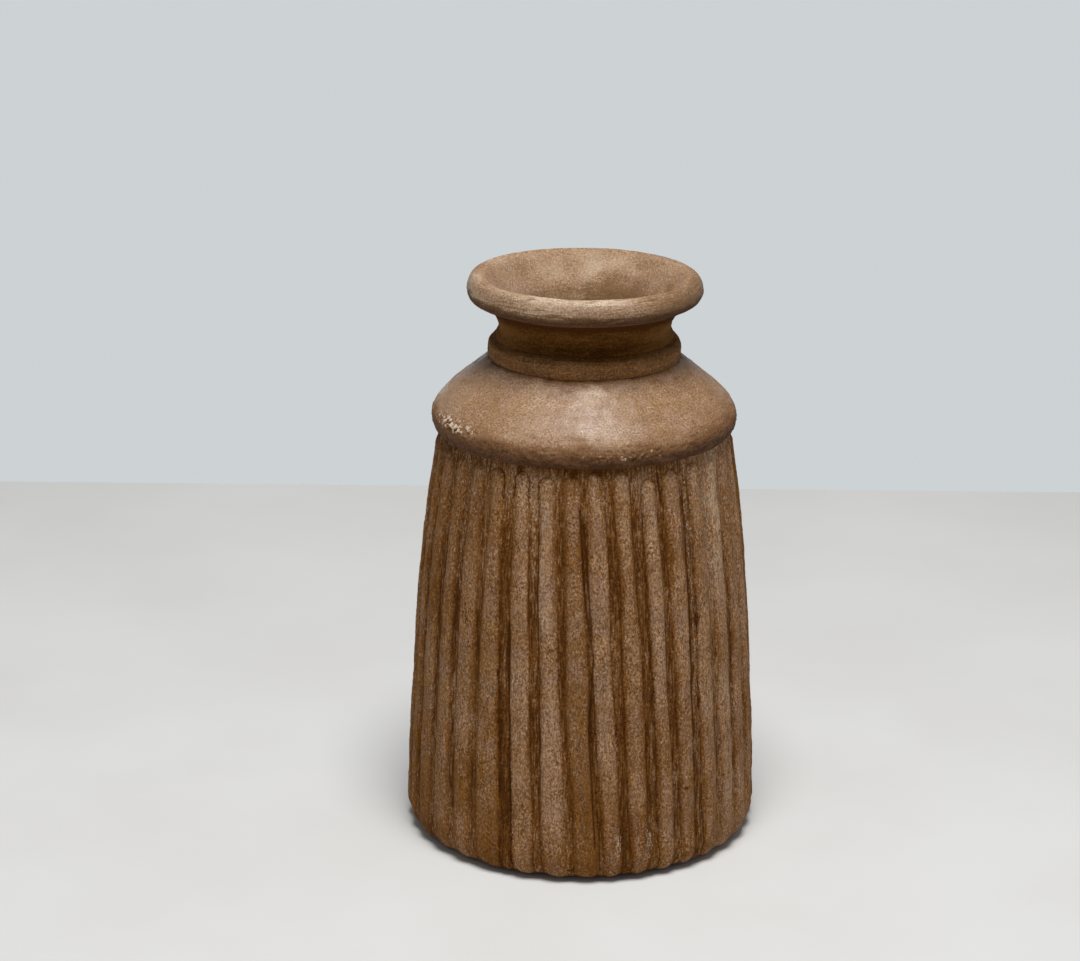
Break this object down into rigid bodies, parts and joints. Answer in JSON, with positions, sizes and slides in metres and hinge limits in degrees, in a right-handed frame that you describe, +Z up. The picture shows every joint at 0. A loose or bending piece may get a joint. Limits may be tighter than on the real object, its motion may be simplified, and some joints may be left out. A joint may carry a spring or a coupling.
{
  "type": "pottery vase",
  "caption": "Fluted stoneware vase: a tapering carved body under a domed shoulder, a collared waisted neck and a rolled rim.",
  "frame": {"origin": "centre of the resting face, on the table", "axes": "+Z up along the vase's axis of turning, -Y towards the viewer"},
  "size_m": [0.1246, 0.1246, 0.2],
  "materials": {
    "rim_clay": "matt, unglazed, rubbed warm tan",
    "shoulder_clay": "matt, unglazed, rubbed warm tan",
    "neck_clay": "matt, unglazed, dark brown stain",
    "collar_clay": "matt, unglazed, mid brown stain",
    "carved_clay": "matt, unglazed, brown stain left in the flutes and rubbed off the ridges",
    "bare_clay": "matt, unglazed, bare clay"
  },
  "bodies": {
    "root": {"base_slab": "bare_clay", "fluted_wall": "carved_clay", "shoulder": "shoulder_clay", "neck": "neck_clay", "collar": "collar_clay", "rolled_rim": "rim_clay", "floor_seam_coil": "bare_clay", "shoulder_seam_coil": "bare_clay"}
  },
  "joints": []
}
